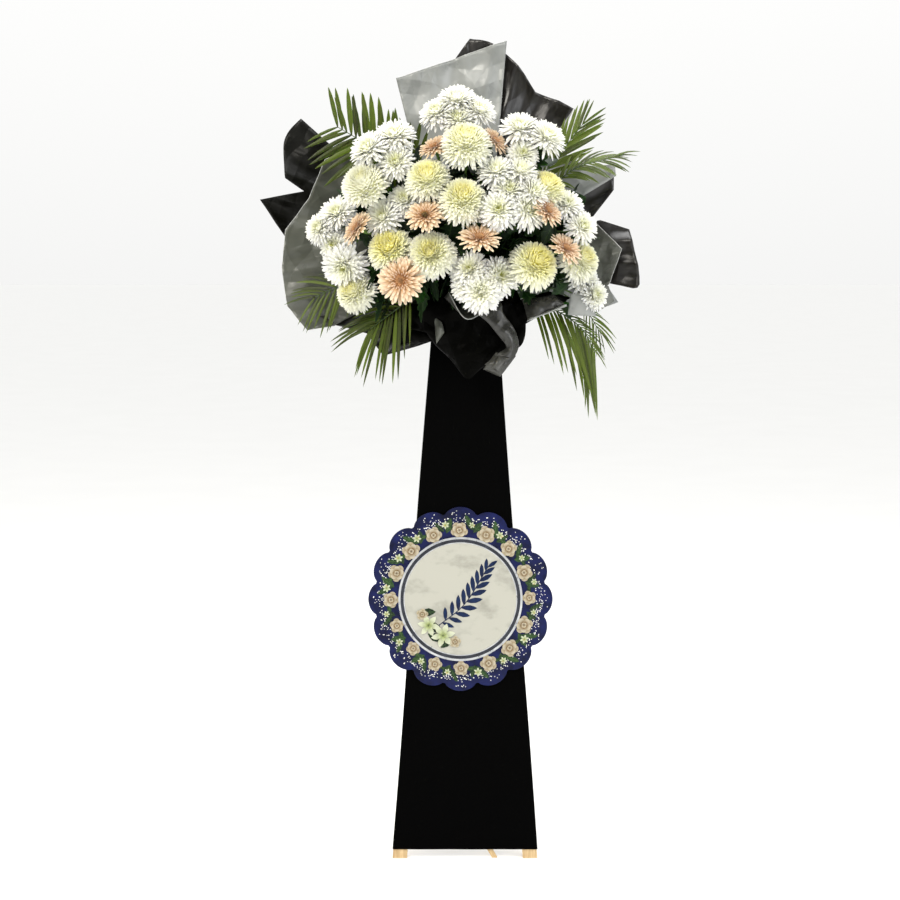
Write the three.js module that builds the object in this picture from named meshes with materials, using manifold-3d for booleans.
// A standing funeral spray: a tall timber easel dressed in a black cloth skirt with a round scalloped
// card on its front, and at its head a wet foam brick that holds chrysanthemums, gerberas and palm
// fronds inside a collar of black and grey florist's film.
// Millimetres, +Z up, the spray faces -Y. The easel's middle line is X = 0 until the very end, where
// the whole group is shifted so that the origin is the centre of the floor plan.
import * as THREE from 'three';
import { mergeVertices } from 'three/addons/utils/BufferGeometryUtils.js';
import Module from 'manifold-3d';

const wasm = await Module();
wasm.setup();
const group = new THREE.Group();

const gap = 0.3; // between pieces that touch

// The front frame of the easel leans back as it rises, and its legs draw together.
const frame = { footY: -150, lean: 0.101, footHalf: 144, taper: 0.0757, topZ: 1430 };
const leg = { wide: 32, deep: 20 };
const rearLeg = { wide: 32, deep: 22, footY: 318 };
const rail = { near: 8, far: 19, tall: 40, lowZ: 240, topZ: 1350 };
const board = { half: 125, lowZ: 1232, highZ: 1438, thick: 6 };
const skirt = { hemZ: 20, topZ: 1212, thick: 1.6, wrap: 20, corner: 0.3 };
const sign = { x: -10, z: 572, crest: 203, valley: 182, scallops: 16, thick: 4, ringMid: 130, ringHalf: 7 };
const tray = { half: 117.5, tall: 118, deep: 25, wall: 2.2 };
const foam = { half: 114.7, tall: 112.5, deep: 80, centreZ: 1335 };
const film = { thick: 0.9, layer: 1.5, layers: 4, flatRadius: 165, layerGrowth: 0.05 };
const stemRadius = 2.6;
const stemInsert = 19; // how deep a stem stands in the foam
const faceTilt = 0.122; // the spray's face looks up: rise per millimetre of depth

const frontAt = (z) => frame.footY + frame.lean * z; // front face of the front legs
const legMiddle = (z) => frame.footHalf - frame.taper * z;
const skirtHalf = (z) => legMiddle(z) + leg.wide / 2;
const filmStack = film.layer * (film.layers - 1) + film.thick;
const trayBack = board.thick + 3 * gap + filmStack; // in front of the legs' front face
const foamBack = trayBack + tray.wall + gap;
const focus = new THREE.Vector3(0, frontAt(foam.centreZ) - foamBack - 36, foam.centreZ); // where all stems aim

const colours = {
  timber: 0xcdb58c, plywood: 0xb99a6b, cloth: 0x0b0b0c, card: 0x1f2a78, foam: 0x2f5d3a, tray: 0x14361f,
  blackFilm: 0x1c1a18, greyFilm: 0x8d8f90, palm: 0x4f7a2c, pompon: 0xf6f6dc, spray: 0xf4f7ee, gerbera: 0xf3c3a0,
};

// A closed solid from points and triangles, turned the right way out.
function closed(points, faces) {
  let volume = 0;
  for (const [a, b, c] of faces) {
    const [p, q, r] = [points[a], points[b], points[c]];
    volume += p.dot(new THREE.Vector3().crossVectors(q, r));
  }
  const turned = volume < 0 ? faces.map(([a, b, c]) => [a, c, b]) : faces;
  return new wasm.Manifold(new wasm.Mesh({
    numProp: 3,
    vertProperties: new Float32Array(points.flatMap((p) => [p.x, p.y, p.z])),
    triVerts: new Uint32Array(turned.flat()),
  }));
}

// A three.js geometry as a solid.
function solidOf(geometry) {
  const bare = geometry.clone();
  bare.deleteAttribute('normal');
  bare.deleteAttribute('uv');
  const merged = mergeVertices(bare, 1e-3);
  return new wasm.Manifold(new wasm.Mesh({
    numProp: 3,
    vertProperties: new Float32Array(merged.attributes.position.array),
    triVerts: new Uint32Array(merged.index.array),
  }));
}

// Joins solids in pairs, and then drops edges too short to matter.
function fuse(solids) {
  let left = solids;
  while (left.length > 1) {
    const joined = [];
    for (let i = 0; i < left.length; i += 2) joined.push(i + 1 < left.length ? left[i].add(left[i + 1]) : left[i]);
    left = joined;
  }
  return left[0].simplify(0.25);
}

const solids = []; // every solid so far, for the leaves to keep clear of
function addNode(name, solid, colour, roughness = 0.7) {
  solids.push(solid);
  const { vertProperties, triVerts, numProp } = solid.getMesh();
  const positions = [];
  for (let i = 0; i < vertProperties.length; i += numProp) positions.push(...vertProperties.subarray(i, i + 3));
  const geometry = new THREE.BufferGeometry();
  geometry.setAttribute('position', new THREE.Float32BufferAttribute(positions, 3));
  geometry.setIndex(Array.from(triVerts));
  geometry.computeVertexNormals();
  const mesh = new THREE.Mesh(geometry, new THREE.MeshStandardMaterial({ color: colour, roughness, metalness: 0 }));
  mesh.name = name;
  group.add(mesh);
  return mesh;
}

// A batten between two level rectangles, each { z, x: [low, high], y: [low, high] }.
function batten(low, high) {
  const points = [low, high].flatMap(({ z, x, y }) => [
    new THREE.Vector3(x[0], y[0], z), new THREE.Vector3(x[1], y[0], z),
    new THREE.Vector3(x[1], y[1], z), new THREE.Vector3(x[0], y[1], z),
  ]);
  const sides = [0, 1, 2, 3].flatMap((i) => {
    const next = (i + 1) % 4;
    return [[i, next, next + 4], [i, next + 4, i + 4]];
  });
  return closed(points, [[0, 2, 1], [0, 3, 2], [4, 5, 6], [4, 6, 7], ...sides]);
}

// A thin sheet: `front` and `back` are matching grids of points, one thickness apart.
function sheet(front, back) {
  const rows = front.length;
  const columns = front[0].length;
  const points = [...front.flat(), ...back.flat()];
  const at = (side, i, j) => side * rows * columns + i * columns + j;
  const faces = [];
  for (let i = 0; i + 1 < rows; i += 1) {
    for (let j = 0; j + 1 < columns; j += 1) {
      const [a, b, c, d] = [at(0, i, j), at(0, i, j + 1), at(0, i + 1, j + 1), at(0, i + 1, j)];
      const [e, f, g, h] = [at(1, i, j), at(1, i, j + 1), at(1, i + 1, j + 1), at(1, i + 1, j)];
      faces.push([a, b, c], [a, c, d], [e, g, f], [e, h, g]);
    }
  }
  const rim = [];
  for (let j = 0; j + 1 < columns; j += 1) rim.push([0, j]);
  for (let i = 0; i + 1 < rows; i += 1) rim.push([i, columns - 1]);
  for (let j = columns - 1; j > 0; j -= 1) rim.push([rows - 1, j]);
  for (let i = rows - 1; i > 0; i -= 1) rim.push([i, 0]);
  rim.forEach(([i, j], k) => {
    const [m, n] = rim[(k + 1) % rim.length];
    faces.push([at(0, i, j), at(1, i, j), at(1, m, n)], [at(0, i, j), at(1, m, n), at(0, m, n)]);
  });
  return closed(points, faces);
}

// A grid of points moved by `distance` along its own normals.
function offset(grid, distance) {
  const normals = grid.map((row) => row.map(() => new THREE.Vector3()));
  for (let i = 0; i + 1 < grid.length; i += 1) {
    for (let j = 0; j + 1 < grid[i].length; j += 1) {
      const down = grid[i + 1][j].clone().add(grid[i + 1][j + 1]).sub(grid[i][j]).sub(grid[i][j + 1]);
      const across = grid[i][j + 1].clone().add(grid[i + 1][j + 1]).sub(grid[i][j]).sub(grid[i + 1][j]);
      const normal = down.cross(across).normalize();
      [[i, j], [i, j + 1], [i + 1, j], [i + 1, j + 1]].forEach(([m, n]) => normals[m][n].add(normal));
    }
  }
  return grid.map((row, i) => row.map((p, j) => p.clone().addScaledVector(normals[i][j].normalize(), distance)));
}

// A tapered rod with few sides through a list of points.
function rod(path, radii, sides = 4) {
  const points = [];
  path.forEach((p, i) => {
    const from = Math.min(i, path.length - 2);
    const tangent = path[from + 1].clone().sub(path[from]).normalize();
    const across = new THREE.Vector3().crossVectors(tangent, new THREE.Vector3(0.3, 0.2, 1)).normalize();
    const up = new THREE.Vector3().crossVectors(tangent, across);
    for (let k = 0; k < sides; k += 1) {
      const turn = (2 * Math.PI * k) / sides;
      const [c, d] = [radii[i] * Math.cos(turn), radii[i] * Math.sin(turn)];
      points.push(p.clone().addScaledVector(across, c).addScaledVector(up, d));
    }
  });
  const faces = [];
  for (let i = 0; i + 1 < path.length; i += 1) {
    for (let k = 0; k < sides; k += 1) {
      const [a, b] = [i * sides + k, i * sides + ((k + 1) % sides)];
      faces.push([a, b, b + sides], [a, b + sides, a + sides]);
    }
  }
  const last = (path.length - 1) * sides;
  for (let k = 1; k + 1 < sides; k += 1) faces.push([0, k + 1, k], [last, last + k, last + k + 1]);
  return closed(points, faces);
}

// Turns a bloom made about +Z so that it looks along `facing`, and puts it at `place`.
function placed(solid, place, facing) {
  const turn = new THREE.Quaternion().setFromUnitVectors(new THREE.Vector3(0, 0, 1), facing);
  const matrix = new THREE.Matrix4().compose(place, turn, new THREE.Vector3(1, 1, 1));
  return solid.transform(matrix.elements);
}

// The easel: two front legs, two rails between them, a rear leg, its brace and a lath behind the hem.
function buildEasel() {
  const inFrame = (z, x, near, far) => ({ z, x, y: [frontAt(z) + near, frontAt(z) + far] });
  for (const [name, side] of [['leg_front_left', -1], ['leg_front_right', 1]]) {
    const ends = [0, frame.topZ].map((z) => {
      const x = side * legMiddle(z);
      return inFrame(z, [x - leg.wide / 2, x + leg.wide / 2], 0, leg.deep);
    });
    addNode(name, batten(...ends), colours.timber);
  }
  for (const [name, z] of [['rail_low', rail.lowZ], ['rail_top', rail.topZ]]) {
    const ends = [z, z + rail.tall].map((height) => {
      const half = legMiddle(height) - leg.wide / 2 - gap;
      return inFrame(height, [-half, half], rail.near, rail.far);
    });
    addNode(name, batten(...ends), colours.timber);
  }
  const rearTopZ = rail.topZ + rail.tall;
  const rearTopY = frontAt(rearTopZ) + rail.far + gap;
  const rearHalf = Math.min(rearLeg.wide / 2, legMiddle(rearTopZ) - leg.wide / 2 - gap);
  const rearFront = (z) => rearTopY + ((rearLeg.footY - rearTopY) * (rearTopZ - z)) / rearTopZ;
  const rearEnds = [0, rearTopZ].map((z) => (
    { z, x: [-rearHalf, rearHalf], y: [rearFront(z), rearFront(z) + rearLeg.deep] }));
  addNode('leg_rear', batten(...rearEnds), colours.timber);
  const braceEnds = [rail.lowZ + 8, rail.lowZ + 32].map((z) => (
    { z, x: [-9, 9], y: [frontAt(z) + rail.far + gap, rearFront(z) - gap] }));
  addNode('brace_rear', batten(...braceEnds), colours.timber);
  const lath = { footX: 66, topX: -97, topZ: 275, wide: 12, near: 2.3, far: 7.7 };
  const lathEnds = [[0, lath.footX], [lath.topZ, lath.topX]].map(([z, x]) => (
    inFrame(z, [x - lath.wide / 2, x + lath.wide / 2], lath.near, lath.far)));
  addNode('lath_diagonal', batten(...lathEnds), colours.timber);
  const boardEnds = [board.lowZ, board.highZ].map((z) => (
    inFrame(z, [-board.half, board.half], -gap - board.thick, -gap)));
  addNode('back_board', batten(...boardEnds), colours.plywood);
}

// The cloth skirt: one panel over the front, turned back round the outside of both legs. Its front
// carries long shallow folds that run from top to hem.
function buildSkirt() {
  const heights = [skirt.hemZ, 420, 820, skirt.topZ];
  const turns = [0, 0.5, 1].map((t) => (t * Math.PI) / 2);
  const half = [];
  half.push([0, skirt.wrap, 1, 0]); // [how far in from the side, depth, outward x, outward y]
  turns.forEach((a) => half.push([
    skirt.corner * (1 - Math.cos(a)), skirt.corner * (1 - Math.sin(a)), Math.cos(a), -Math.sin(a)]));
  const row = (z, out) => {
    const w = skirtHalf(z);
    const y = frontAt(z) - gap;
    const right = half.map(([inset, depth, nx, ny]) => (
      new THREE.Vector3(w + gap - inset + out * nx, y + depth + out * ny, z)));
    const folds = [0.55, 0.2, -0.15, -0.5].map((share, i) => (
      new THREE.Vector3(w * share, y - out - (i % 2 ? 0 : 1.1), z)));
    const left = right.map((p) => new THREE.Vector3(-p.x, p.y, p.z)).reverse();
    return [...right, ...folds, ...left];
  };
  const front = heights.map((z) => row(z, skirt.thick));
  const back = heights.map((z) => row(z, 0));
  addNode('skirt', sheet(front, back), colours.cloth, 0.9);
}

// The card: a scalloped disc with a raised ring on its face, lying on the front of the skirt.
function buildSign() {
  const outline = new THREE.Shape();
  const steps = 4;
  const points = [];
  for (let i = 0; i < sign.scallops; i += 1) {
    for (let k = 0; k < steps; k += 1) {
      const bulge = Math.sin((Math.PI * k) / steps);
      const radius = sign.valley + (sign.crest - sign.valley) * Math.sqrt(bulge);
      const turn = ((i - 0.5 + k / steps) * 2 * Math.PI) / sign.scallops + Math.PI / 2;
      points.push(new THREE.Vector2(radius * Math.cos(turn), radius * Math.sin(turn)));
    }
  }
  outline.setFromPoints(points);
  const plate = solidOf(new THREE.ExtrudeGeometry(outline, { depth: sign.thick, bevelEnabled: false }));
  const profile = [[-1, 0], [1, 0], [1, 0.7], [0, 1], [-1, 0.7], [-1, 0]].map(([r, h]) => (
    new THREE.Vector2(sign.ringMid + r * sign.ringHalf, sign.thick - 0.5 + h * 1.5)));
  const ring = solidOf(new THREE.LatheGeometry(profile, 24).rotateX(Math.PI / 2));
  const lean = Math.atan(frame.lean);
  const skirtFace = frontAt(sign.z) - gap - skirt.thick - 1.1;
  const matrix = new THREE.Matrix4().makeTranslation(sign.x, skirtFace - gap, sign.z)
    .multiply(new THREE.Matrix4().makeRotationX(Math.PI / 2 - lean));
  addNode('sign_card', plate.add(ring).transform(matrix.elements), colours.card, 0.35);
}

// The shallow plastic tray, and the foam brick in it with a hole for each stem.
function buildTray() {
  const inFrame = (z, x, near, far) => ({ z, x, y: [frontAt(z) - far, frontAt(z) - near] });
  const span = (tall) => [foam.centreZ - tall / 2, foam.centreZ + tall / 2];
  const outer = span(tray.tall).map((z) => inFrame(z, [-tray.half, tray.half], trayBack, trayBack + tray.deep));
  const inside = tray.half - tray.wall;
  const hollow = span(tray.tall - 2 * tray.wall).map((z) => (
    inFrame(z, [-inside, inside], trayBack + tray.wall, trayBack + tray.deep + 5)));
  addNode('foam_tray', batten(...outer).subtract(batten(...hollow)), colours.tray, 0.4);
}
function foamBlock() {
  const ends = [-1, 1].map((side) => {
    const z = foam.centreZ + (side * foam.tall) / 2;
    return { z, x: [-foam.half, foam.half], y: [frontAt(z) - foamBack - foam.deep, frontAt(z) - foamBack] };
  });
  return batten(...ends);
}

// Where a straight line from `outside` towards the focus enters the foam brick.
function foamEntry(outside) {
  const way = outside.clone().sub(focus);
  const frontY = frontAt(foam.centreZ) - foamBack - foam.deep;
  const shares = [
    foam.half / Math.abs(way.x || 1e-6),
    (foam.tall / 2) / Math.abs(way.z || 1e-6),
    way.y < 0 ? (frontY - focus.y) / way.y : 1e6,
  ];
  return focus.clone().addScaledVector(way, Math.min(...shares));
}
const holes = [];
function stemEnd(outside) {
  const entry = foamEntry(outside);
  const inward = focus.clone().sub(outside).normalize();
  const end = entry.clone().addScaledVector(inward, stemInsert);
  holes.push(rod([
    entry.clone().addScaledVector(inward, -32), end.clone().addScaledVector(inward, gap)],
  [stemRadius + gap + 0.15, stemRadius + gap + 0.15]));
  return end;
}

// The film collar. Every back sheet is a fan from a root edge behind the tray to an outer edge, and
// lies in one of a few layers, which spread apart as they leave the tray and cup the spray.
const cupAt = (angle) => 0.17 - 0.1 * Math.sin(angle);
function collarDepth(x, z, layer) {
  const dz = z - foam.centreZ;
  const past = Math.max(0, Math.hypot(x, dz) - film.flatRadius);
  const angle = Math.atan2(dz, x);
  const wave = 5 * Math.sin(5 * angle + 1) + 3.5 * Math.sin(11 * angle);
  const onset = past / (past + 60);
  const spread = layer * (film.layer + film.layerGrowth * past);
  return board.thick + 2 * gap + spread + cupAt(angle) * past * onset + wave * onset ** 3;
}
const backSheets = [
  { name: 'film_black_top', layer: 0, root: [[10, 1375], [75, 1375]],
    outer: [[-25, 1745], [10, 1792], [60, 1780], [115, 1733], [153, 1677], [205, 1658], [237, 1640]] },
  { name: 'film_black_left', layer: 0, root: [[-70, 1365], [-70, 1320]],
    outer: [[-357, 1619], [-387, 1587], [-395, 1554], [-389, 1490], [-350, 1462], [-446, 1444], [-388, 1360]] },
  { name: 'film_black_right_lower', layer: 0, root: [[60, 1350], [60, 1310]],
    outer: [[295, 1400], [358, 1380], [378, 1262], [331, 1260]] },
  { name: 'film_black_right_upper', layer: 1, root: [[70, 1372], [75, 1345]],
    outer: [[290, 1502], [323, 1493], [323, 1465], [276, 1405]] },
  { name: 'film_grey_top', layer: 1, root: [[-65, 1364], [55, 1364]],
    outer: [[-150, 1705], [-70, 1732], [10, 1760], [90, 1785]] },
  { name: 'film_black_bottom_left', layer: 1, root: [[-50, 1300], [20, 1292]],
    outer: [[-318, 1193], [-284, 1174], [-214, 1154], [-178, 1107], [-102, 1128], [-74, 1137]] },
  { name: 'film_grey_right_upper', layer: 3, root: [[55, 1380], [90, 1350]],
    outer: [[235, 1640], [196, 1554], [258, 1515], [323, 1519], [325, 1494]] },
  { name: 'film_grey_left', layer: 2, root: [[-20, 1376], [-50, 1300]],
    outer: [[-190, 1575], [-303, 1530], [-338, 1446], [-388, 1379], [-396, 1300], [-385, 1215], [-342, 1163], [-284, 1172]] },
  { name: 'film_grey_right', layer: 2, root: [[58, 1366], [80, 1310]],
    outer: [[283, 1394], [338, 1338], [312, 1262], [285, 1235]] },
  { name: 'film_grey_bottom_right', layer: 1, root: [[70, 1310], [30, 1292]],
    outer: [[310, 1256], [332, 1223], [291, 1208], [255, 1212], [215, 1218], [137, 1187]] },
];
function fan(root, outer, rows, depthAt) {
  const point = (x, z, extra) => new THREE.Vector3(x, frontAt(z) - depthAt(x, z) - extra, z);
  const grid = (extra) => {
    const made = [];
    for (let i = 0; i <= rows; i += 1) {
      made.push(outer.map(([x, z], j) => {
        const across = j / (outer.length - 1);
        const rx = THREE.MathUtils.lerp(root[0][0], root[1][0], across);
        const rz = THREE.MathUtils.lerp(root[0][1], root[1][1], across);
        return point(THREE.MathUtils.lerp(rx, x, i / rows), THREE.MathUtils.lerp(rz, z, i / rows), extra);
      }));
    }
    return made;
  };
  return sheet(grid(film.thick), grid(0));
}
// Halves each stretch of an outline, so that the sheet can bend between its corners.
function halved(outline) {
  return outline.flatMap(([x, z], i) => {
    if (i === 0) return [[x, z]];
    const [px, pz] = outline[i - 1];
    return [[(x + px) / 2, (z + pz) / 2], [x, z]];
  });
}
function buildFilm() {
  for (const { name, layer, root, outer } of backSheets) {
    const edge = outer.length > 5 ? outer : halved(outer);
    const solid = fan(root, edge, 5, (x, z) => collarDepth(x, z, layer));
    addNode(name, solid, name.includes('grey') ? colours.greyFilm : colours.blackFilm, 0.45);
  }
  // Two sheets come forward from under the foam: they are swept, row by row, from their held edge. The
  // first gets its thickness towards the back, the second on the inside of its fold.
  const lip = frontAt(1284) - foamBack - foam.deep - gap - film.thick;
  const frontSheets = [
    ['film_black_front', colours.blackFilm, -1, [
      [[-70, lip, 1286], [-20, lip, 1284], [30, lip, 1284], [90, lip, 1286]],
      [[-82, lip - 22, 1245], [-25, lip - 32, 1240], [40, lip - 32, 1240], [112, lip - 22, 1245]],
      [[-95, lip - 26, 1190], [-22, lip - 42, 1180], [45, lip - 40, 1180], [128, lip - 26, 1190]],
      [[-70, lip - 14, 1140], [-12, lip - 34, 1115], [40, lip - 34, 1120], [124, lip - 14, 1140]],
      [[-30, lip - 8, 1102], [3, lip - 24, 1062], [36, lip - 22, 1084], [100, lip - 8, 1118]],
    ]],
    ['film_grey_front', colours.greyFilm, 1, [
      [[-48, lip - 104, 1246], [0, lip - 122, 1214], [54, lip - 104, 1240]],
      [[-52, lip - 70, 1238], [2, lip - 80, 1216], [60, lip - 70, 1238]],
      [[-22, lip - 17.2, 1265], [6, lip - 17.2, 1265], [35, lip - 17.2, 1265]],
      [[-22, lip - 18.4, 1259], [6, lip - 18.4, 1259], [35, lip - 18.4, 1259]],
      [[-12, lip - 56, 1226], [28, lip - 60, 1216], [74, lip - 56, 1228]],
      [[34, lip - 64, 1202], [64, lip - 68, 1190], [104, lip - 60, 1204]],
      [[72, lip - 62, 1168], [98, lip - 66, 1168], [124, lip - 56, 1176]],
      [[88, lip - 60, 1140], [108, lip - 66, 1136], [126, lip - 54, 1138]],
      [[70, lip - 70, 1126], [88, lip - 74, 1118], [108, lip - 66, 1112]],
      [[38, lip - 72, 1104], [50, lip - 76, 1090], [62, lip - 70, 1078]],
    ]],
  ];
  for (const [name, colour, side, rows] of frontSheets) {
    const face = rows.map((row) => row.map(([x, y, z]) => new THREE.Vector3(x, y, z)));
    addNode(name, sheet(face, offset(face, side * film.thick)), colour, 0.45);
  }
}

// The dome that the blooms sit on, measured forward of the foam's focus.
const dome = { x: 0, z: 1395, halfX: 330, halfZ: 270, rim: 62, crown: 140 };
function seat(x, height, lift = 0) {
  const reach = 1 - ((x - dome.x) / dome.halfX) ** 2 - ((height - dome.z) / dome.halfZ) ** 2;
  const depth = dome.rim + dome.crown * Math.sqrt(Math.max(0, reach)) + lift;
  return new THREE.Vector3(x, focus.y - depth, height + faceTilt * (depth - dome.rim));
}
// The way a bloom looks: out from the focus, tilted up, then turned by hand (degrees).
function looking(place, turnX = 0, turnUp = 0) {
  const out = place.clone().sub(focus).normalize();
  const side = Math.atan2(out.x, -out.y) * 0.55 + THREE.MathUtils.degToRad(turnX);
  const up = Math.asin(out.z) * 0.5 + THREE.MathUtils.degToRad(22 + turnUp);
  return new THREE.Vector3(Math.sin(side) * Math.cos(up), -Math.cos(side) * Math.cos(up), Math.sin(up));
}

const degrees = (angle) => (angle * Math.PI) / 180;

// Draws the four-cornered cell `corners` of a skin out into a pointed blade, by way of a wide middle
// where one is given. `points` and `faces` are the skin's own lists.
function drawOut(points, faces, corners, tip, middle) {
  let ring = corners;
  if (middle) {
    const next = middle.map((p) => points.push(p) - 1);
    for (let k = 0; k < 4; k += 1) {
      const m = (k + 1) % 4;
      faces.push([ring[k], ring[m], next[m]], [ring[k], next[m], next[k]]);
    }
    ring = next;
  }
  const end = points.push(tip) - 1;
  for (let k = 0; k < 4; k += 1) faces.push([ring[k], ring[(k + 1) % 4], end]);
}

// A bloom about +Z as one skin: a core of stacked rings, whose cells are drawn out into petals. Each
// ring is [radius, height, turn in cells] from the top down, and each band of petals lies between two.
function bloomSkin(radius, count, rings, bands) {
  const points = rings.flatMap(([r, h, turn]) => Array.from({ length: count }, (_, i) => {
    const around = ((i + turn) * 2 * Math.PI) / count;
    return new THREE.Vector3(r * radius * Math.cos(around), r * radius * Math.sin(around), h * radius);
  }));
  const at = (k, i) => k * count + (i % count);
  const faces = [];
  const last = rings.length - 1;
  const top = points.push(new THREE.Vector3(0, 0, (rings[0][1] + 0.08) * radius)) - 1;
  const bottom = points.push(new THREE.Vector3(0, 0, (rings[last][1] - 0.1) * radius)) - 1;
  for (let i = 0; i < count; i += 1) {
    faces.push([top, at(0, i), at(0, i + 1)], [bottom, at(last, i + 1), at(last, i)]);
  }
  bands.forEach(({ reach, rise = 0, wide }, k) => {
    for (let i = 0; i < count; i += 1) {
      const corners = [at(k, i), at(k + 1, i), at(k + 1, i + 1), at(k, i + 1)];
      const [a, b, c, d] = corners.map((n) => points[n]);
      const centre = a.clone().add(b).add(c).add(d).divideScalar(4);
      const across = c.clone().add(d).sub(a).sub(b);
      const cellWidth = across.length() / 2 / centre.length();
      across.normalize();
      const out = centre.clone().normalize();
      const up = new THREE.Vector3().crossVectors(out, across).normalize();
      const step = (share, lift) => out.clone().multiplyScalar(share * radius).addScaledVector(up, lift * radius);
      let middle;
      if (wide) {
        const [share, spread, thick] = wide;
        const w = (cellWidth * share * radius * spread) / 2;
        const corner = (side, edge) => step(share, rise * 0.35)
          .addScaledVector(across, side * w).addScaledVector(up, (edge * thick) / 2);
        middle = [corner(-1, 1), corner(-1, -1), corner(1, -1), corner(1, 1)];
      }
      drawOut(points, faces, corners, step(reach, rise), middle);
    }
  });
  return closed(points, faces);
}

// A large decorative chrysanthemum: a dense ball with four layers of petals round a tight centre.
function pomponHead(radius) {
  const rings = [[0.18, 0.68, 0], [0.42, 0.56, 0.5], [0.58, 0.34, 1], [0.66, 0.08, 1.5], [0.6, -0.18, 2]];
  const bands = [
    { reach: 0.9 }, { reach: 0.98 }, { reach: 1.02 }, { reach: 1.06, rise: 0.04, wide: [0.84, 0.8, 3] },
  ];
  return bloomSkin(radius, 9, rings, bands);
}

// A small daisy-like head of a spray chrysanthemum: two whorls of pointed petals round a low eye.
function sprayHead(radius) {
  const rings = [[0.24, 0.34, 0], [0.5, 0.16, 0.5], [0.44, -0.1, 1]];
  return bloomSkin(radius, 9, rings, [{ reach: 0.88, rise: 0.04 }, { reach: 1.04, rise: 0.06 }]);
}

// A gerbera: a flat eye, a whorl of short petals and a whorl of long ones.
function gerberaHead(radius) {
  const rings = [[0.2, 0.1, 0], [0.32, 0.05, 0.5], [0.3, -0.06, 1]];
  const bands = [{ reach: 0.6, rise: -0.06 }, { reach: 1, rise: 0.16, wide: [0.72, 0.86, 1.6] }];
  return bloomSkin(radius, 12, rings, bands);
}

// A lobed chrysanthemum leaf: a thin plate whose half widths swell into a lobe at each side.
function lobedLeaf(base, way, facing, length) {
  const side = new THREE.Vector3().crossVectors(way, facing).normalize();
  const outline = [[0, 0.014], [0.2, 0.15], [0.52, 0.44], [0.62, 0.16], [1, 0.02]];
  const grid = (depth) => outline.map(([along, half]) => [-1, 1].map((edge) => base.clone()
    .addScaledVector(way, along * length).addScaledVector(side, edge * half * length)
    .addScaledVector(facing, 0.12 * length * Math.sin(Math.PI * along) - depth)));
  return sheet(grid(0), grid(1.4));
}

// The line of a bloom's stem: back from the head along its own axis, then straight into the foam.
function stemLine(head, facing, neck) {
  const bend = head.clone().addScaledVector(facing, -neck);
  return [head, bend, stemEnd(bend)];
}
const stemRod = (line) => rod(line, [stemRadius * 1.9, stemRadius, stemRadius]);

// [name, across, height, radius, lift, turn sideways, turn up]
const pompons = [
  ['pompon_top', 0, 1531, 48, 12, 0, 6],
  ['pompon_upper_left', -206, 1454, 47, 6, 4, 4],
  ['pompon_inner_left', -77, 1462, 43, 0, 0, 4],
  ['pompon_middle', -8, 1416, 46, 14, 4, 6],
  ['pompon_left_yellow', -154, 1322, 44, 0, 0, 8],
  ['pompon_left_front', -71, 1310, 45, 12, 0, 2],
  ['pompon_right_yellow', 138, 1289, 46, 16, 12, 10],
  ['pompon_right', 165, 1449, 41, -30, 14, 16],
  ['pompon_far_right', 246, 1302, 38, -16, 14, 8],
  ['pompon_low_left', -229, 1237, 38, 4, -4, 8],
];
const gerberas = [
  ['gerbera_top_left', -66, 1534, 32, 4, -30, 4],
  ['gerbera_top_right', 60, 1548, 32, -2, 46, -8],
  ['gerbera_left_centre', -84, 1388, 38, 30, 2, 10],
  ['gerbera_left', -226, 1368, 37, 24, -34, 4],
  ['gerbera_low_left', -134, 1257, 47, 54, 2, -10],
  ['gerbera_middle', 27, 1341, 41, 22, 4, 40],
  ['gerbera_right', 174, 1392, 34, 26, 36, 4],
  ['gerbera_far_right', 214, 1316, 33, 32, 24, 16],
];
// [name, across, height, lift, heads: [across, up, forward, radius]]
const sprays = [
  ['spray_top', -18, 1610, 0, [[0, 22, -6, 32], [-40, -4, 0, 30], [2, -18, 14, 29], [42, 0, 0, 30]]],
  ['spray_upper_left', -166, 1532, 0, [[20, 24, -6, 33], [-32, -2, 4, 33], [22, -30, 12, 30]]],
  ['spray_upper_right', 134, 1552, -4, [[-22, 20, -6, 33], [30, 2, 0, 33], [-18, -32, 12, 26]]],
  ['spray_centre_right', 88, 1430, 18, [
    [-26, 46, -14, 31], [22, 46, -18, 29], [-2, 8, -2, 30], [46, 4, -8, 30], [-22, -30, 12, 33], [36, -30, 2, 33]]],
  ['spray_left', -288, 1385, -4, [[20, 18, 0, 32], [-30, -10, -8, 29], [12, -44, 0, 28], [36, -88, 10, 38]]],
  ['spray_bottom_centre', 40, 1246, 14, [
    [-34, 26, 4, 30], [32, 22, 2, 30], [-2, 4, 14, 27], [-30, -20, 12, 27], [10, -34, 24, 34]]],
  ['spray_right', 232, 1386, 2, [[-12, 28, -6, 31], [22, -18, 0, 33]]],
  ['spray_bottom_right', 262, 1238, -2, [[-6, 12, 0, 31], [24, -28, 4, 29]]],
  ['spray_inner_left', -152, 1396, -16, [[-16, -6, 0, 33], [26, 28, -4, 30]]],
];

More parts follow.
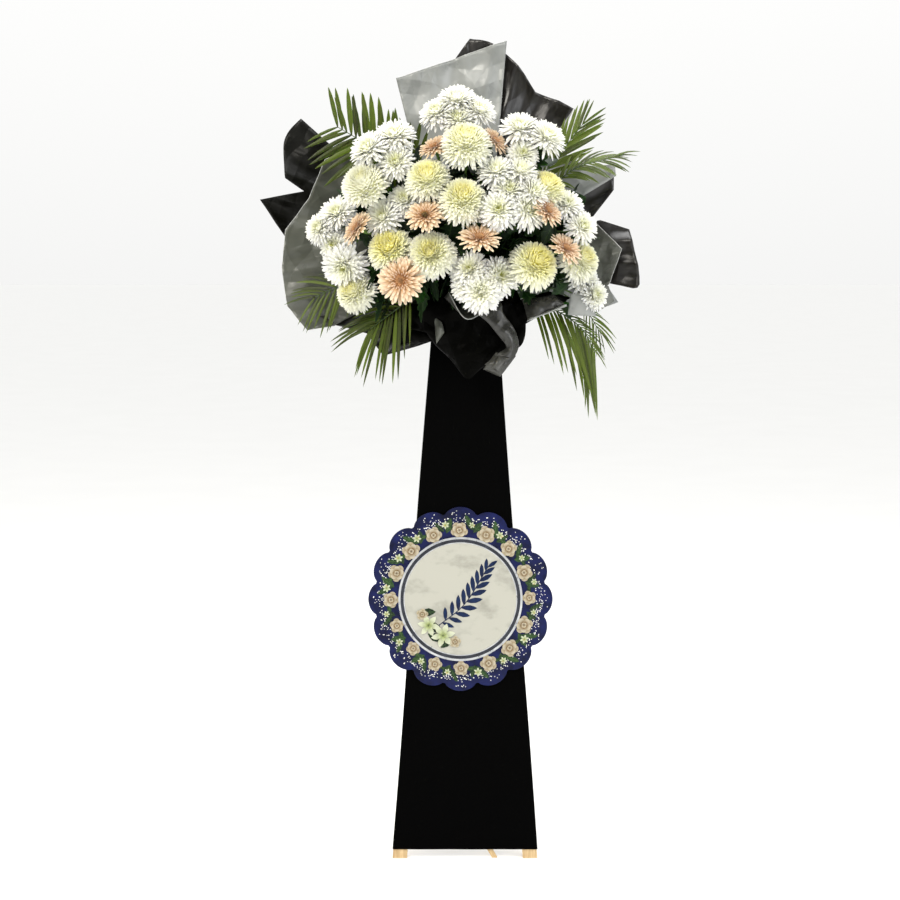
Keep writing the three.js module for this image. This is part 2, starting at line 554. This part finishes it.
function buildBlooms() {
  for (const [name, x, z, radius, lift, turnX, turnUp] of pompons) {
    const place = seat(x, z, lift);
    const facing = looking(place, turnX, turnUp);
    const line = stemLine(place, facing, radius * 0.75);
    addNode(name, placed(pomponHead(radius), place, facing).add(stemRod(line)), colours.pompon);
  }
  for (const [name, x, z, radius, lift, turnX, turnUp] of gerberas) {
    const place = seat(x, z, lift);
    const facing = looking(place, turnX, turnUp);
    const stem = stemRod(stemLine(place, facing, 16));
    addNode(name, placed(gerberaHead(radius), place, facing).add(stem), colours.gerbera);
  }
  for (const [name, x, z, lift, heads] of sprays) {
    const middle = seat(x, z, lift);
    const outward = looking(middle);
    const fork = middle.clone().lerp(focus, 0.3);
    const parts = [];
    const places = heads.map(([dx, dz, forward]) => middle.clone().add(new THREE.Vector3(dx, -forward, dz)));
    heads.forEach(([dx, dz, , radius], i) => {
      const place = places[i];
      const facing = outward.clone().add(new THREE.Vector3(dx, 0, dz).multiplyScalar(0.009)).normalize();
      parts.push(placed(sprayHead(radius), place, facing));
      if (i === 0) {
        parts.push(rod([place, fork, stemEnd(fork)], [stemRadius * 1.3, stemRadius, stemRadius]));
      } else {
        const join = fork.clone().lerp(places[0], 0.12 * (i - 1));
        parts.push(rod([place, join], [stemRadius * 1.2, stemRadius * 0.6], 3));
      }
    });
    addNode(name, fuse(parts), colours.spray);
  }
}

// A palm frond: a curved rib from the foam with leaflets in pairs. `ribs` are points after the foam,
// `face` is the way the frond's flat side looks, and `droop` how far a leaflet's tip hangs.
const fronds = [
  { name: 'frond_upper_left', rib: [[-112, -92, 1470], [-190, -96, 1545], [-268, -104, 1604]], from: 0.2,
    pairs: 11, longest: 128, face: [0.1, -1, 0.1], spread: 44, droop: 0.14 },
  { name: 'frond_upper_right', rib: [[112, -88, 1430], [176, -84, 1508], [250, -84, 1602]], from: 0.36,
    pairs: 8, longest: 92, face: [0.25, -1, 0.3], spread: 32, droop: 0.05 },
  { name: 'frond_right', rib: [[136, -94, 1412], [225, -124, 1506], [330, -144, 1536]], from: 0.4,
    pairs: 9, longest: 96, face: [0.1, -0.55, 0.85], spread: 38, droop: 0.3 },
  { name: 'frond_left', rib: [[-170, -92, 1296], [-250, -106, 1268], [-322, -118, 1236]], from: 0.5,
    pairs: 6, longest: 88, face: [-0.1, -1, 0.3], spread: 44, droop: 0.25 },
  { name: 'frond_low_left', rib: [[-84, -130, 1256], [-140, -142, 1216], [-204, -140, 1168]], from: 0.3,
    pairs: 8, longest: 112, face: [-0.1, -1, 0.25], spread: 40, droop: 0.34 },
  { name: 'frond_low_right', rib: [[146, -104, 1224], [212, -118, 1200], [264, -124, 1152], [288, -122, 1062]],
    from: 0.34, pairs: 12, longest: 112, face: [0.2, -1, 0.3], spread: 40, droop: 0.42 },
  { name: 'frond_low_far_right', rib: [[180, -84, 1262], [262, -92, 1206], [304, -96, 1146]], from: 0.56,
    pairs: 5, longest: 76, face: [0.1, -1, 0.3], spread: 34, droop: 0.3 },
];
// A frond as one skin: a square rib whose side cells are drawn out into leaflets, in pairs.
function frondSkin({ rib, from, pairs, longest, face, spread, droop }) {
  const points = rib.map((p) => new THREE.Vector3(...p));
  const line = new THREE.CatmullRomCurve3(points);
  const facing = new THREE.Vector3(...face).normalize();
  const cell = 5 / line.getLength();
  const shares = [];
  for (let share = 0.5 * from; share < from; share += 0.5 * from) shares.push(share);
  const pitch = (0.985 - cell - from) / (pairs - 1);
  for (let i = 0; i < pairs; i += 1) shares.push(from + i * pitch, from + i * pitch + cell);
  const first = shares.length - 2 * pairs + 2;
  const skin = [];
  const faces = [];
  const ring = (p, tangent, half) => {
    const aside = new THREE.Vector3().crossVectors(tangent, facing).normalize();
    const front = new THREE.Vector3().crossVectors(aside, tangent).normalize();
    [[-1, 1], [-1, -1], [1, -1], [1, 1]].forEach(([u, v]) => (
      skin.push(p.clone().addScaledVector(aside, u * half).addScaledVector(front, v * half))));
  };
  const foamEnd = stemEnd(points[0]);
  const straight = points[0].clone().sub(foamEnd).normalize();
  const square = stemRadius * 0.54;
  ring(foamEnd, straight, square);
  ring(points[0], straight, square);
  shares.forEach((share) => ring(line.getPointAt(share), line.getTangentAt(share), square * (1 - 0.55 * share)));
  const rings = shares.length + 2;
  for (let n = 0; n + 1 < rings; n += 1) {
    const isPair = n >= first && (n - first) % 2 === 0;
    for (let k = 0; k < 4; k += 1) {
      const m = (k + 1) % 4;
      const corners = [4 * n + k, 4 * n + m, 4 * n + 4 + m, 4 * n + 4 + k];
      if (!isPair || k % 2) {
        faces.push([corners[0], corners[1], corners[2]], [corners[0], corners[2], corners[3]]);
        continue;
      }
      const order = (n - first) / 2 / (pairs - 1);
      const [root, tangent] = [line.getPointAt(shares[n - 2]), line.getTangentAt(shares[n - 2])];
      const aside = new THREE.Vector3().crossVectors(tangent, facing).normalize().multiplyScalar(k ? 1 : -1);
      const length = longest * (0.55 + 0.45 * Math.sin(Math.PI * (0.15 + 0.75 * order)));
      const angle = degrees(spread * (1.15 - 0.55 * order));
      const lift = ((n - first) / 2) % 2 ? 0.09 : -0.03; // neighbours stand a little before and behind
      const way = tangent.clone().multiplyScalar(Math.cos(angle)).addScaledVector(aside, Math.sin(angle))
        .addScaledVector(facing, lift);
      const flat = new THREE.Vector3().crossVectors(facing, way).normalize().multiplyScalar(k ? 1 : -1);
      const reach = (share) => root.clone().addScaledVector(way, length * share)
        .add(new THREE.Vector3(0, 0, -droop * length * share * share));
      const corner = (u, v) => reach(0.42).addScaledVector(flat, u * 4.5).addScaledVector(facing, v * 0.6);
      const middle = k ? [corner(-1, -1), corner(-1, 1), corner(1, 1), corner(1, -1)]
        : [corner(-1, 1), corner(-1, -1), corner(1, -1), corner(1, 1)];
      drawOut(skin, faces, corners, reach(1), middle);
    }
  }
  const end = 4 * (rings - 1);
  faces.push([0, 2, 1], [0, 3, 2]);
  const tip = line.getPointAt(1).addScaledVector(line.getTangentAt(1), longest * 0.5);
  const tipAt = skin.push(tip.add(new THREE.Vector3(0, 0, -droop * longest * 0.2))) - 1;
  for (let k = 0; k < 4; k += 1) faces.push([end + k, end + ((k + 1) % 4), tipAt]);
  return closed(skin, faces);
}
function buildFronds() {
  for (const frond of fronds) addNode(frond.name, frondSkin(frond), colours.palm);
}

// The leafy branches that fill in between the blooms. A branch leaves the foam at its fork, and each of
// its shoots ends at one of the given places, [across, height, depth in front of the focus].
const branches = [
  { name: 'leaves_left', fork: [-50, 78, 1352], shoots: [
    [-40, 1425, 150], [-110, 1500, 120], [-170, 1390, 130], [-190, 1300, 120], [-100, 1250, 130], [-130, 1340, 160]] },
  { name: 'leaves_right', fork: [48, 78, 1352], shoots: [
    [-8, 1440, 110], [95, 1500, 100], [215, 1400, 60], [200, 1340, 120], [110, 1330, 150], [50, 1300, 150], [120, 1240, 110]] },
];
const leafPlan = { length: 66, perShoot: 2, tries: 14, clearance: 1.2 };
const turnStep = 2.4; // radians from one leaf, or one try, to the next

// A leaf standing off a shoot at `base`, turned about it until it clears `others`, or none at all.
function clearLeaf(base, along, start, others) {
  const across = new THREE.Vector3().crossVectors(along, new THREE.Vector3(0, 0, 1)).normalize();
  for (let i = 0; i < leafPlan.tries; i += 1) {
    const out = across.clone().applyAxisAngle(along, start + i * turnStep);
    const way = out.clone().addScaledVector(along, 0.8).normalize();
    const facing = along.clone().addScaledVector(way, -along.dot(way)).normalize();
    const leaf = lobedLeaf(base, way, facing, leafPlan.length * (1 - 0.035 * i));
    if (others.every((solid) => leaf.minGap(solid, 2) > leafPlan.clearance)) return leaf;
  }
  return null;
}
function buildLeaves() {
  for (const { name, fork, shoots } of branches) {
    const from = new THREE.Vector3(fork[0], focus.y - fork[1], fork[2]);
    const parts = [rod([from, stemEnd(from)], [stemRadius, stemRadius])];
    const others = solids.slice();
    shoots.forEach(([x, z, depth], n) => {
      const end = new THREE.Vector3(x, focus.y - depth, z);
      const along = end.clone().sub(from).normalize();
      parts.push(rod([from, end], [stemRadius * 0.8, stemRadius * 0.6], 3));
      for (let i = 0; i < leafPlan.perShoot; i += 1) {
        const base = from.clone().lerp(end, 0.95 - 0.3 * i);
        const leaf = clearLeaf(base, along, n + i * turnStep, others);
        if (leaf) parts.push(leaf);
      }
    });
    addNode(name, fuse(parts), colours.palm);
  }
}

buildEasel();
buildSkirt();
buildSign();
buildTray();
buildFilm();
buildBlooms();
buildFronds();
buildLeaves();
addNode('foam_block', foamBlock().subtract(fuse(holes)), colours.foam, 0.95);

// The origin goes to the centre of the plan, on the floor.
const bounds = new THREE.Box3().setFromObject(group);
const centre = bounds.getCenter(new THREE.Vector3());
for (const mesh of group.children) mesh.geometry.translate(-centre.x, -centre.y, 0);

export default group;
